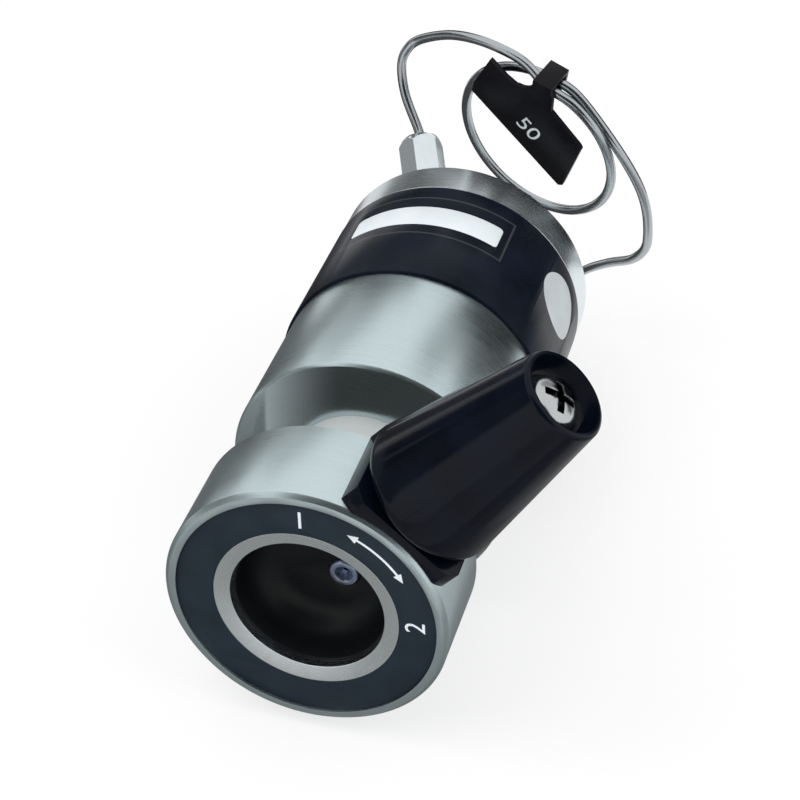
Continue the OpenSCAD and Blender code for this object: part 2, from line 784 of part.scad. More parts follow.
function smooth_point(p, i, t) =
    let (a = p[max(i - 1, 0)], b = p[i], c = p[i + 1], d = p[min(i + 2, len(p) - 1)])
    0.5 * (2 * b + (c - a) * t + (2 * a - 5 * b + 4 * c - d) * t * t
           + (3 * b - a - 3 * c + d) * t * t * t);
function unit(v) = v / norm(v);
// rings half way between the route's points are added only where the route bends
function is_straight(p, i) = i > 0 && i < len(p) - 2
    && abs(unit(p[i + 1] - p[i]) * unit(p[i] - p[i - 1])) > 0.9999
    && abs(unit(p[i + 2] - p[i + 1]) * unit(p[i + 1] - p[i])) > 0.9999;
tube_path = concat(
    [for (i = [0:route_n - 2]) each is_straight(loop_route, i) || i < 3 || i > route_n - 5
        ? [loop_route[i]] : [loop_route[i], smooth_point(loop_route, i, 0.5)]],
    [loop_route[route_n - 1]]
);

// A round tube of n sides along a path, its section carried along without twist
function tangent(p, i) = unit(p[min(i + 1, len(p) - 1)] - p[max(i - 1, 0)]);
function carry(p, i, side) = i == len(p) ? []
    : let (t = tangent(p, i), s = unit(side - (side * t) * t)) concat([s], carry(p, i + 1, s));
module swept_tube(path, r, sides) {
    side = carry(path, 0, [1, 0, 0]);
    m = len(path);
    points = [for (i = [0:m - 1]) let (up = cross(tangent(path, i), side[i]))
        each [for (k = [0:sides - 1]) path[i] + r * cos(360 * k / sides) * side[i]
                                               + r * sin(360 * k / sides) * up]];
    walls = [for (i = [0:m - 2]) each [for (k = [0:sides - 1])
        let (a = i * sides + k, b = i * sides + (k + 1) % sides) [a, a + sides, b + sides, b]]];
    ends = [[for (k = [0:sides - 1]) k],
            [for (k = [0:sides - 1]) (m - 1) * sides + sides - 1 - k]];
    polyhedron(points, concat(walls, ends), convexity = 10);
}

module loop_tube() { color([0.7, 0.73, 0.75]) swept_tube(tube_path, tube_r, 8); }

// The tag's outline in the coil's plane
tag_t = 0.8;
tag_front = -strand_gap / 2 - tube_r - 0.3;
module loop_tag() {
    clip_w = 3.4;
    wall = 0.6;
    hole_h = tube_d + 0.9;
    hole_r = coil_r + 0.1;
    depth = strand_gap + tube_d + 0.35;
    color([0.05, 0.05, 0.06]) on_coil() union() {
        // the plate: a strip with a scooped top edge
        translate([0, tag_front, 0]) rotate([90, 0, 0]) linear_extrude(tag_t) difference() {
            polygon([[-9.9, 9.2], [5.1, -5.3], [6, -5], [10.3, 4.4], [10, 5.1], [5.3, 10.4],
                     [5.8, 13.4], [4.9, 15.3], [-1, 13.6], [-2.6, 14.6], [-5.4, 17.2], [-9.1, 11.4]]);
            translate([0.1, 16.2]) circle(r = 2.6, $fn = 48);
        }
        // the clip: a sleeve round the two strands
        rotate([0, 90 - clip_angle, 0]) translate([-clip_w / 2, 0, hole_r]) difference() {
            translate([0, tag_front - tag_t, -hole_h / 2 - wall])
                cube([clip_w, depth / 2 + wall - tag_front + tag_t, hole_h + 2 * wall]);
            translate([-1, -depth / 2, -hole_h / 2]) cube([clip_w + 2, depth, hole_h]);
        }
    }
}

handle_hub();
handle_label();
bezel_ring();
funnel_cup();
needle_port();
needle_tube();
hub_set_screws();
lever_collar();
lever_grip();
lever_screw();
shaft();
stop_pin();
rotor_pins();
rotor_seal();
rear_thrust_washer();
magnet_collar();
switch_magnet();
bearing_cage();
bearing_balls();
front_thrust_washer();
spring_washers();
pressure_nut();
nut_lock_screw();
valve_body();
stop_ring();
shaft_bushing();
switch_ring();
side_label();
round_label();
switch_board();
reed_switch();
cable_grommet();
stator_face();
stator_pins();
stator();
stator_screws();
port_nuts();
ferrules();
loop_tube();
loop_tag();
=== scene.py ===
"""Manual six-port injection valve with its sample loop: finishes, printed marks, threads, stage."""
import json
from math import atan2, cos, pi, radians, sin, tan

import bpy
from bpy.props import FloatProperty, FloatVectorProperty, PointerProperty
from mathutils import Matrix, Vector

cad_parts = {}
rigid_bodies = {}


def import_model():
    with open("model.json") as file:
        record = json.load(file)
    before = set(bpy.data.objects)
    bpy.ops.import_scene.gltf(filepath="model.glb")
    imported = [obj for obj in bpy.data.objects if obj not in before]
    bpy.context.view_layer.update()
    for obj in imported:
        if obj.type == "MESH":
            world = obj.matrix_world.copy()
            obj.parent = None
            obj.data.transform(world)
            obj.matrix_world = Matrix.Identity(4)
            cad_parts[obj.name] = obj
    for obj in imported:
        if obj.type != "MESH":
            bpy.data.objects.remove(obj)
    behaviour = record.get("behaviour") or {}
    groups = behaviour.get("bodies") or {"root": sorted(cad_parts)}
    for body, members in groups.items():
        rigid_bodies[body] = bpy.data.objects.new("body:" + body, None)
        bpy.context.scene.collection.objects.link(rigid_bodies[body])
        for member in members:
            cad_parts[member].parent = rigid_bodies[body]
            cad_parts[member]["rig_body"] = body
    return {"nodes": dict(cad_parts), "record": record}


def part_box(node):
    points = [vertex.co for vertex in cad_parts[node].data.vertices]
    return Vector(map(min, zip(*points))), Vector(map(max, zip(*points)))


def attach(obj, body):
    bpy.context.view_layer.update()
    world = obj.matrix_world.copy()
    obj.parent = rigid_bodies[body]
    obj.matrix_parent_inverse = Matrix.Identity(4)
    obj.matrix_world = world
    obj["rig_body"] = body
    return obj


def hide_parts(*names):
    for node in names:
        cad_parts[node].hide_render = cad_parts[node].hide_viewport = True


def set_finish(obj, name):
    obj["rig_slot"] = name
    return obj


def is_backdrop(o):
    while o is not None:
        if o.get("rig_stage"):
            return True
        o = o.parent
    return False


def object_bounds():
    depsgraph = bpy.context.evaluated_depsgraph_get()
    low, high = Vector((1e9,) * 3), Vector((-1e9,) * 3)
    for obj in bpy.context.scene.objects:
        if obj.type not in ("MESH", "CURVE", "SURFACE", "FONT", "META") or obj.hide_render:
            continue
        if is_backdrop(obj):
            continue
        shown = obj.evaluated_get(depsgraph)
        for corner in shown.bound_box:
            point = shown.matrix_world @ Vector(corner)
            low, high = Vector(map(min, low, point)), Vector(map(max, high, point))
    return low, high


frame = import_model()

bl_info = {
    "name": "Injection valve",
    "version": (1, 0, 0),
    "blender": (4, 5, 0),
    "location": "View3D > Sidebar > Valve",
    "description": "Dresses a six-port injection valve and sets up its studio",
    "category": "Object",
}

MM = 0.001
# Points this close are one, in metres: on the carried-over parts, and on new pieces
WELD_CARRIED, WELD_NEW = 2e-6, 1e-7
NODES = frame["nodes"]
SLOT_OF = {part["node"]: part["material_slot"] for part in frame["record"]["subparts"]}
BODY_OF = {name: body for body, names in frame["record"]["behaviour"]["bodies"].items()
           for name in names}

# Places in metres, read from the carried-over parts
LABEL_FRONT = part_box("handle_label")[0].y
BODY_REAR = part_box("valve_body")[1].y
RING_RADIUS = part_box("switch_ring")[1].x

# The radius and the place along the axis where the stator's cone starts, in millimetres
CONE_RADIUS, CONE_START = 20.6, 54

# The six ports on the cone: the tilt and the azimuths of their axes, clockwise from the top as
# seen from the handle, and the place and size of their mouths. Two of them hold the loop.
PORT_TILT = radians(40)
PORT_AZIMUTHS = [radians(-32 + 60 * k) for k in range(6)]
LOOP_PORTS = (PORT_AZIMUTHS[0], PORT_AZIMUTHS[3])
PORT_MOUTH_R = 14.5
PORT_MOUTH_Y = CONE_START + (CONE_RADIUS - PORT_MOUTH_R) * tan(PORT_TILT)
PORT_BORE_R = 2.4
PORT_DEPTH = 7.5

# The two tapped holes in the panel face: the distance between them, and their thread's radius
PANEL_SPACING = 31.75
PANEL_THREAD_R = 2.02

# How far print stands off the label's face
PRINT_LIFT = 0.01

# The coil of the sample loop: its centre, the directions across, through and up it, its radius,
# the distance between its strands, the angle where the tag clips on, and the tag's front face
COIL_CENTRE = Vector((8.2, 69.6, 18))
COIL_LEAN = radians(13.3)
COIL_TURN = radians(-19.3)
COIL_ACROSS = Vector((cos(COIL_TURN), sin(COIL_TURN), 0))
COIL_THROUGH = Vector((-sin(COIL_TURN) * cos(COIL_LEAN), cos(COIL_TURN) * cos(COIL_LEAN),
                       sin(COIL_LEAN)))
COIL_UP = COIL_ACROSS.cross(COIL_THROUGH)
COIL_RADIUS = 14.2
STRAND_GAP = 1.9
CLIP_ANGLE = 75
TAG_FRONT = -2.84


# ---------------------------- modelling helpers

def only(*objects):
    """Leaves edit mode and selects these objects and nothing else."""
    if bpy.context.object and bpy.context.object.mode != "OBJECT":
        bpy.ops.object.mode_set(mode="OBJECT")
    bpy.ops.object.select_all(action="DESELECT")
    for item in objects:
        item.select_set(True)
    bpy.context.view_layer.objects.active = objects[0]
    return objects[0]


def pick(kind, test):
    """In edit mode, selects the faces, edges or vertices whose place (and normal) pass a test."""
    piece = bpy.context.object
    bpy.ops.mesh.select_mode(type=kind)
    bpy.ops.mesh.select_all(action="DESELECT")
    bpy.ops.object.mode_set(mode="OBJECT")
    mesh = piece.data
    if kind == "FACE":
        for face in mesh.polygons:
            face.select = test(face.center, face.normal)
    elif kind == "EDGE":
        for edge in mesh.edges:
            ends = [mesh.vertices[i].co for i in edge.vertices]
            edge.select = all(test(end) for end in ends)
    else:
        for vertex in mesh.vertices:
            vertex.select = test(vertex.co)
    bpy.ops.object.mode_set(mode="EDIT")


def settle(piece, name, body, slot, matrix=None):
    """Names a finished piece, puts its place into its mesh, and hands it to its body."""
    if matrix is not None:
        piece.matrix_world = matrix @ piece.matrix_world
    only(piece)
    if piece.type != "MESH":
        bpy.ops.object.convert(target="MESH")
        piece = bpy.context.object
    bpy.ops.object.transform_apply(location=True, rotation=True, scale=True)
    piece.name = piece.data.name = name
    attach(piece, body)
    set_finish(piece, slot)
    return piece


def twin(piece, name, matrix):
    """A copy of a finished piece with its own mesh, moved by a matrix."""
    copy = bpy.data.objects.new(name, piece.data.copy())
    bpy.context.collection.objects.link(copy)
    copy.data.transform(matrix)
    copy.data.name = name
    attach(copy, piece["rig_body"])
    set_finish(copy, piece["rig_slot"])
    return copy


def modify(piece, kind, **settings):
    """Adds a modifier with these settings and applies it."""
    only(piece)
    modifier = piece.modifiers.new(kind.title(), kind)
    for key, value in settings.items():
        setattr(modifier, key, value)
    bpy.ops.object.modifier_apply(modifier=modifier.name)


def round_corners(piece, radius):
    """Rounds the four corners of a label that is bent round the valve's axis."""
    mesh = piece.data
    places = [vertex.co for vertex in mesh.vertices]
    front, back = min(co.y for co in places), max(co.y for co in places)
    left, right = min(atan2(co.x, co.z) for co in places), max(atan2(co.x, co.z) for co in places)

    def at_corner(co):
        reach, spread = 0.02 * MM, radians(0.7)
        turn = atan2(co.x, co.z)
        return (min(co.y - front, back - co.y) < reach
                and min(turn - left, right - turn) < spread)

    bpy.ops.object.mode_set(mode="EDIT")
    bpy.ops.mesh.select_mode(type="EDGE")
    bpy.ops.mesh.select_all(action="DESELECT")
    bpy.ops.object.mode_set(mode="OBJECT")
    thickness = 1 * MM
    for edge in mesh.edges:
        a, b = (mesh.vertices[i].co for i in edge.vertices)
        edge.select = at_corner(a) and at_corner(b) and (a - b).length < thickness
    bpy.ops.object.mode_set(mode="EDIT")
    bpy.ops.mesh.bevel(offset=radius * MM, segments=5, affect="EDGES")
    bpy.ops.object.mode_set(mode="OBJECT")


def softened(node, edge=0.1, segments=2, smooth=32, corner=0.0, even=False):
    """A joined, smooth copy of a carried-over part, with its sharp edges broken by a small radius.

    The edge is a radius in millimetres, smooth the angle in degrees up to which faces shade as
    one, and corner the radius of a bent label's corners. An even piece takes its shading from its
    large faces, which suits plain shapes without cross holes.
    """
    flat, sharper = radians(0.4), 4
    piece = bpy.data.objects.new(node + "_finished", NODES[node].data.copy())
    bpy.context.collection.objects.link(piece)
    only(piece)
    bpy.ops.mesh.customdata_custom_splitnormals_clear()
    bpy.ops.object.mode_set(mode="EDIT")
    bpy.ops.mesh.select_all(action="SELECT")
    bpy.ops.mesh.remove_doubles(threshold=WELD_CARRIED)
    bpy.ops.mesh.dissolve_limited(angle_limit=flat)
    bpy.ops.object.mode_set(mode="OBJECT")
    if corner:
        round_corners(piece, corner)
    if edge:
        modify(piece, "BEVEL", width=edge * MM, segments=segments, limit_method="ANGLE",
               angle_limit=radians(smooth + sharper), use_clamp_overlap=True)
    bpy.ops.object.shade_smooth_by_angle(angle=radians(smooth))
    if even:
        modify(piece, "WEIGHTED_NORMAL", mode="FACE_AREA", keep_sharp=True)
    piece.data.name = piece.name
    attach(piece, BODY_OF[node])
    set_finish(piece, SLOT_OF[node])
    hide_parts(node)
    return piece


def facing(origin, across, up):
    """The matrix that lays the XY plane at an origin, with given directions for X and Y."""
    across, up = Vector(across).normalized(), Vector(up).normalized()
    through = across.cross(up)
    matrix = Matrix((across, up, through)).transposed().to_4x4()
    matrix.translation = Vector(origin)
    return matrix


def on_front(azimuth, radius, lift=0.0):
    """A place on the front label, from an azimuth in radians, clockwise from the top."""
    return Vector((radius * MM * sin(azimuth), LABEL_FRONT - lift * MM, radius * MM * cos(azimuth)))


def port_matrix(azimuth, out=0.0):
    """The matrix of a port: Z runs outwards on its axis, with the mouth's centre at 0."""
    axis = Vector((sin(PORT_TILT) * sin(azimuth), cos(PORT_TILT), sin(PORT_TILT) * cos(azimuth)))
    side = Vector((cos(azimuth), 0, -sin(azimuth)))
    mouth = Vector((PORT_MOUTH_R * sin(azimuth), PORT_MOUTH_Y, PORT_MOUTH_R * cos(azimuth)))
    return facing((mouth + axis * out) * MM, side, axis.cross(side))


def in_coil(u, v, n):
    """A place in the coil's frame: across, up and through it, in millimetres."""
    return COIL_CENTRE + COIL_ACROSS * u + COIL_UP * v + COIL_THROUGH * n


def helix_ridge(radius, depth, pitch, turns, name, body, slot):
    """The ridge of an inner thread on the Z axis, running down from 0.

    Its section is a triangle whose foot takes a share of the pitch to each side.
    """
    foot, steps = 0.44, 28
    bpy.ops.mesh.primitive_plane_add(size=1, location=(0, 0, 0))
    ridge = only(bpy.context.object)
    bpy.ops.object.mode_set(mode="EDIT")
    pick("VERT", lambda co: co.x > 0)
    bpy.ops.mesh.merge(type="CENTER")
    bpy.ops.object.mode_set(mode="OBJECT")
    corners = sorted(ridge.data.vertices, key=lambda vertex: vertex.co.x)
    for vertex, (x, z) in zip(corners, ((radius, foot), (radius, -foot), (radius - depth, 0))):
        vertex.co = (x * MM, 0, z * pitch * MM)
    modify(ridge, "SCREW", axis="Z", angle=2 * pi, screw_offset=-pitch * MM, steps=steps,
           render_steps=steps, iterations=turns, use_normal_calculate=True)
    bpy.ops.object.mode_set(mode="EDIT")
    bpy.ops.mesh.select_all(action="SELECT")
    bpy.ops.mesh.remove_doubles(threshold=WELD_NEW)
    bpy.ops.mesh.select_all(action="DESELECT")
    bpy.ops.mesh.select_non_manifold()
    bpy.ops.mesh.edge_face_add()
    bpy.ops.mesh.select_all(action="SELECT")
    bpy.ops.mesh.normals_make_consistent(inside=False)
    bpy.ops.object.mode_set(mode="OBJECT")
    bpy.ops.object.shade_smooth_by_angle(angle=radians(30))
    ridge.name = ridge.data.name = name
    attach(ridge, body)
    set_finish(ridge, slot)
    return ridge


def printed_text(words, size, matrix, name, body, slot, depth=0.02):
    """Raised print: digits of a given height, laid on a plane by a matrix."""
    digit_share = 0.72
    bpy.ops.object.text_add(location=(0, 0, 0))
    text = bpy.context.object
    text.data.body = words
    text.data.align_x = "CENTER"
    text.data.align_y = "CENTER"
    text.data.size = size * MM / digit_share
    text.data.extrude = depth * MM
    text.data.resolution_u = 6
    return settle(text, name, body, slot, matrix)


# ---------------------------- shader helpers

class Wire:
    """A value on its way through a finish, which takes part in formulas."""

    def __init__(self, finish, socket):
        self.finish, self.socket = finish, socket

    def math(self, operation, *others):
        node = self.finish.node("ShaderNodeMath", {"operation": operation},
                                dict(enumerate((self, *others))))
        return Wire(self.finish, node.outputs[0])

    def flipped(self, operation, other):
        node = self.finish.node("ShaderNodeMath", {"operation": operation}, {0: other, 1: self})
        return Wire(self.finish, node.outputs[0])

    def __add__(self, other): return self.math("ADD", other)
    def __radd__(self, other): return self.math("ADD", other)
    def __sub__(self, other): return self.math("SUBTRACT", other)
    def __rsub__(self, other): return self.flipped("SUBTRACT", other)
    def __mul__(self, other): return self.math("MULTIPLY", other)
    def __rmul__(self, other): return self.math("MULTIPLY", other)
    def __truediv__(self, other): return self.math("DIVIDE", other)
    def __lt__(self, other): return self.math("LESS_THAN", other)
    def __gt__(self, other): return self.math("GREATER_THAN", other)
    def __abs__(self): return self.math("ABSOLUTE")
    def root(self): return self.math("SQRT")
    def at_most(self, other): return self.math("MINIMUM", other)
    def at_least(self, other): return self.math("MAXIMUM", other)
    def within(self): return self.at_least(0).at_most(1)
    def angle_from(self, other): return self.math("ARCTAN2", other)


class Finish:
    """A material under construction, with its principled shader."""

    def __init__(self, name, colour, roughness, metallic=0.0, **constants):
        self.material = bpy.data.materials.new(name)
        self.material.use_nodes = True
        self.nodes = self.material.node_tree.nodes
        self.links = self.material.node_tree.links
        self.shader = self.nodes["Principled BSDF"]
        self.set(Base_Color=(*colour, 1), Roughness=roughness, Metallic=metallic, **constants)

    def set(self, **sockets):
        for key, value in sockets.items():
            self.plug(self.shader.inputs[key.replace("_", " ")], value)

    def plug(self, socket, value):
        if isinstance(value, Wire):
            self.links.new(value.socket, socket)
        elif isinstance(value, bpy.types.NodeSocket):
            self.links.new(value, socket)
        else:
            socket.default_value = value

    def node(self, kind, settings=None, sockets=None):
        made = self.nodes.new(kind)
        for key, value in (settings or {}).items():
            setattr(made, key, value)
        for key, value in (sockets or {}).items():
            self.plug(made.inputs[key], value)
        return made

    def place(self):
        """The point on the piece in millimetres, as three values."""
        point = self.node("ShaderNodeTexCoord").outputs["Object"]
        parts = self.node("ShaderNodeSeparateXYZ", None, {0: point})
        return [Wire(self, output) * 1000 for output in parts.outputs]

    def noise(self, x, y, z, detail=2.0, roughness=0.5):
        """Noise about 0.5 on a point given by three values."""
        point = self.node("ShaderNodeCombineXYZ", None, {0: x, 1: y, 2: z})
        made = self.node("ShaderNodeTexNoise", None,
                         {"Vector": point.outputs[0], "Scale": 1.0, "Detail": detail,
                          "Roughness": roughness})
        return Wire(self, made.outputs[0])

    def blend(self, factor, first, second):
        """A colour between two, by a factor from 0 to 1."""
        as_colour = [(*c, 1) if isinstance(c, tuple) and len(c) == 3 else c
                     for c in (first, second)]
        made = self.node("ShaderNodeMix", {"data_type": "RGBA", "clamp_factor": True},
                         {0: factor, 6: as_colour[0], 7: as_colour[1]})
        return made.outputs[2]

    def bump(self, height, depth):
        """Relief from a height of 0 to 1 that stands for a depth in millimetres."""
        made = self.node("ShaderNodeBump", None,
                         {"Strength": 1.0, "Distance": depth * MM, "Height": height})
        self.set(Normal=made.outputs[0])

    def on(self, *pieces):
        """Gives the finish to these pieces, in all their slots."""
        for piece in pieces:
            for slot in range(max(1, len(piece.material_slots))):
                if slot < len(piece.material_slots):
                    piece.material_slots[slot].material = self.material
                else:
                    piece.data.materials.append(self.material)
        return self


def shade(colour, share):
    """A colour made lighter or darker by a share."""
    return tuple(max(0.0, min(1.0, part * share)) for part in colour)


def turned_metal(name, colour, roughness=0.3, depth=0.004, streak=0.10, cloud=0.06, metallic=1.0):
    """Metal turned on a lathe about the valve's axis: fine rings, drawn-out streaks and a film."""
    finish = Finish(name, colour, roughness, metallic=metallic)
    x, y, z = finish.place()
    nearly_none, slope = 0.001, 1.35
    r = (x * x + z * z).root() + nearly_none
    # The rings follow y on a barrel and r on a flat face, and cross every cone at an angle
    rings = y + r * slope

    def drawn_out(around, across, detail, shift=0):
        """Noise with long cells round the axis, by its fineness round the axis and across."""
        return finish.noise(x / r * around + shift, z / r * around, rings * across, detail=detail)

    fine = drawn_out(3, 9, detail=3)
    mid = drawn_out(1.4, 2.2, detail=2, shift=7)
    film = finish.noise(x * 0.09, y * 0.09, z * 0.09, detail=3)
    marks = drawn_out(5, 26, detail=1, shift=3)
    tone = (0.5 + (fine - 0.5) * (streak * 5) + (mid - 0.5) * (streak * 4)
            + (film - 0.5) * (cloud * 6)).within()
    finish.set(Base_Color=finish.blend(tone, shade(colour, 0.88), shade(colour, 1.1)),
               Roughness=(roughness + (fine - 0.5) * (streak * 1.6) + (film - 0.5) * 0.14
                          + (marks > 0.7) * 0.05).within())
    finish.bump(fine * 0.6 + marks * 0.4, depth)
    return finish


def drawn_metal(name, colour, roughness=0.22, grain=5.0, depth=0.002):
    """Bright drawn or plated metal with a faint cloudy film and small handling marks."""
    finish = Finish(name, colour, roughness, metallic=1.0)
    x, y, z = finish.place()
    film = finish.noise(x * 0.35, y * 0.35, z * 0.35, detail=4)
    marks = finish.noise(x * grain, y * grain * 0.4, z * grain, detail=3)
    finish.set(Base_Color=finish.blend((film * 0.7 + marks * 0.3), shade(colour, 0.86),
                                       shade(colour, 1.1)),
               Roughness=(roughness + (film - 0.5) * 0.18 + (marks - 0.5) * 0.12).within())
    finish.bump(marks, depth)
    return finish


def moulded(name, colour, roughness=0.25, grain=6.0, depth=0.003, level=0.15, sheen=None):
    """Moulded plastic: a fine skin, a slow change of gloss, and a touch of another tone."""
    finish = Finish(name, colour, roughness, Specular_IOR_Level=level)
    x, y, z = finish.place()
    skin = finish.noise(x * grain, y * grain, z * grain, detail=2)
    slow = finish.noise(x * 0.14, y * 0.14, z * 0.14, detail=3)
    other = sheen or shade(colour, 1.5)
    finish.set(Base_Color=finish.blend((slow * 1.6 - 0.3).within(), shade(colour, 0.9), other),
               Roughness=(roughness + (slow - 0.5) * 0.16 + (skin - 0.5) * 0.1).within())
    finish.bump(skin, depth)
    return finish


# ---------------------------- settings

class ValveSizes(bpy.types.PropertyGroup):
    """Sizes of the details that are added to the carried-over parts."""
    edge_break: FloatProperty(name="Edge break", description="Radius on the machined edges",
                              default=0.12 * MM, min=0, unit="LENGTH")
    moulded_edge: FloatProperty(name="Moulded edge", description="Radius on the switch ring",
                                default=0.2 * MM, min=0, unit="LENGTH")
    tube_diameter: FloatProperty(name="Tube diameter", description="Outside of the capillary",
                                 default=1.5875 * MM, min=0.5 * MM, unit="LENGTH")
    digit_height: FloatProperty(name="Digit height", description="Height of the label's numbers",
                                default=2.9 * MM, min=1 * MM, unit="LENGTH")
    tag_digit_height: FloatProperty(name="Tag digit height",
                                    description="Height of the number on the loop's tag",
                                    default=3.2 * MM, min=1 * MM, unit="LENGTH")
    arrow_width: FloatProperty(name="Arrow width", description="Width of the printed arc",
                               default=0.34 * MM, min=0.1 * MM, unit="LENGTH")
    port_pitch: FloatProperty(name="Port thread pitch", description="Pitch of the port threads",
                              default=0.794 * MM, min=0.3 * MM, unit="LENGTH")
    panel_pitch: FloatProperty(name="Panel thread pitch",
                               description="Pitch of the threads in the panel face",
                               default=0.7 * MM, min=0.3 * MM, unit="LENGTH")


class ValveColours(bpy.types.PropertyGroup):
    """Colours and gloss of the finishes."""
    steel: FloatVectorProperty(name="Steel", description="Turned steel of hub and body",
                               subtype="COLOR", size=3, min=0, max=1, default=(0.58, 0.69, 0.71))
    bright: FloatVectorProperty(name="Bright steel", description="Bezel, stator, nuts and tube",
                                subtype="COLOR", size=3, min=0, max=1, default=(0.74, 0.80, 0.83))
    grip: FloatVectorProperty(name="Grip", description="Black plastic of the lever",
                              subtype="COLOR", size=3, min=0, max=1,
                              default=(0.0014, 0.002, 0.0035))
    ring: FloatVectorProperty(name="Switch ring", description="Black plastic of the switch ring",
                              subtype="COLOR", size=3, min=0, max=1,
                              default=(0.003, 0.005, 0.008))
    legend: FloatVectorProperty(name="Label", description="Black film of the front label",
                                subtype="COLOR", size=3, min=0, max=1,
                                default=(0.010, 0.018, 0.027))
    print_white: FloatVectorProperty(name="Print", description="Pale print and labels",
                                     subtype="COLOR", size=3, min=0, max=1,
                                     default=(0.70, 0.75, 0.78))
    steel_roughness: FloatProperty(name="Steel roughness", description="Satin of the turned steel",
                                   default=0.30, min=0, max=1, subtype="FACTOR")


class ValveStage(bpy.types.PropertyGroup):
    """Camera, lamps and floor."""
    lens: FloatProperty(name="Lens", description="Focal length of the camera on a 36 mm sensor",
                        default=97.2, min=20)
    ambient: FloatProperty(name="Ambient light", description="Level of the light from all round",
                           default=0.75, min=0, max=2)
    key: FloatProperty(name="Key light", description="Strength of the large soft lamp in watts",
                       default=4.0, min=0)
    fill: FloatProperty(name="Fill light", description="Strength of the second soft lamp in watts",
                        default=1.5, min=0)
    floor_white: FloatProperty(name="Floor white", description="Share of even white in the floor",
                               default=0.72, min=0, max=1, subtype="FACTOR")


# ---------------------------- operators

class ValveOperator(bpy.types.Operator):
    """A step that dresses one group of the valve's parts."""
    bl_options = {"REGISTER", "UNDO"}

    def execute(self, context):
        self.build(context.scene.valve_sizes, context.scene.valve_colours)
        return {"FINISHED"}


